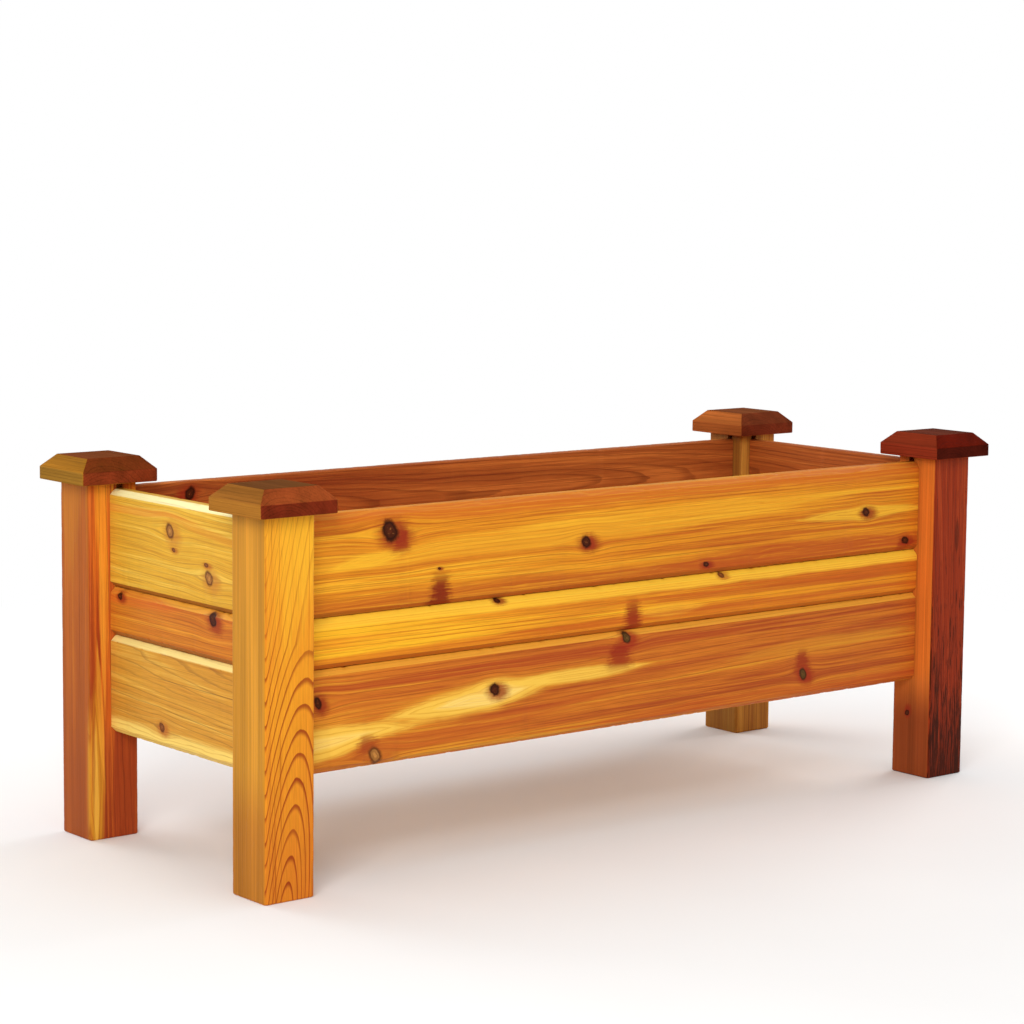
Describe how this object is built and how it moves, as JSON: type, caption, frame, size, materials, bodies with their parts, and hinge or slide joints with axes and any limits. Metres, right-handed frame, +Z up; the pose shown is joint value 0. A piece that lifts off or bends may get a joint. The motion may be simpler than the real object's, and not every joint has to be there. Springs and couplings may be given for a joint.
{
  "type": "raised planter on legs",
  "caption": "Rectangular cedar planter box held between square corner legs, with V-jointed board walls, a slatted draining floor and bevelled lift-off post caps.",
  "frame": {"origin": "on the ground, under the middle of the planter", "axes": "+Z up; +X along the planter, to the right for someone facing the long front; the front faces -Y"},
  "size_m": [1.219, 0.495, 0.483],
  "materials": {
    "cedar_post": "oiled cedar, semi-gloss",
    "cedar_board": "oiled cedar, semi-gloss",
    "cedar_cap": "oiled cedar, semi-gloss",
    "cedar_floor": "sawn cedar, matt",
    "dowel": "plain hardwood, matt",
    "screw_steel": "zinc plated"
  },
  "bodies": {
    "planter": {"post_front_left": "cedar_post", "post_front_right": "cedar_post", "post_rear_left": "cedar_post", "post_rear_right": "cedar_post", "cap_pegs": "dowel", "front_board_top": "cedar_board", "front_board_middle": "cedar_board", "front_board_bottom": "cedar_board", "rear_board_top": "cedar_board", "rear_board_middle": "cedar_board", "rear_board_bottom": "cedar_board", "left_board_top": "cedar_board", "left_board_middle": "cedar_board", "left_board_bottom": "cedar_board", "right_board_top": "cedar_board", "right_board_middle": "cedar_board", "right_board_bottom": "cedar_board", "cleat_front": "cedar_floor", "cleat_rear": "cedar_floor", "cleat_left": "cedar_floor", "cleat_right": "cedar_floor", "floor_slat_1": "cedar_floor", "floor_slat_2": "cedar_floor", "floor_slat_3": "cedar_floor", "floor_slat_4": "cedar_floor", "floor_slat_5": "cedar_floor", "floor_slat_6": "cedar_floor", "floor_slat_7": "cedar_floor", "floor_slat_8": "cedar_floor", "long_cleat_screws": "screw_steel", "end_cleat_screws": "screw_steel"},
    "cap_front_left": {"cap_front_left": "cedar_cap"},
    "cap_front_right": {"cap_front_right": "cedar_cap"},
    "cap_rear_left": {"cap_rear_left": "cedar_cap"},
    "cap_rear_right": {"cap_rear_right": "cedar_cap"}
  },
  "joints": [
    {"name": "cap_front_left_lift", "type": "slide", "parent": "planter", "child": "cap_front_left", "axis": [0, 0, 1], "range_m": [0, 0.06]},
    {"name": "cap_front_right_lift", "type": "slide", "parent": "planter", "child": "cap_front_right", "axis": [0, 0, 1], "range_m": [0, 0.06]},
    {"name": "cap_rear_left_lift", "type": "slide", "parent": "planter", "child": "cap_rear_left", "axis": [0, 0, 1], "range_m": [0, 0.06]},
    {"name": "cap_rear_right_lift", "type": "slide", "parent": "planter", "child": "cap_rear_right", "axis": [0, 0, 1], "range_m": [0, 0.06]}
  ]
}
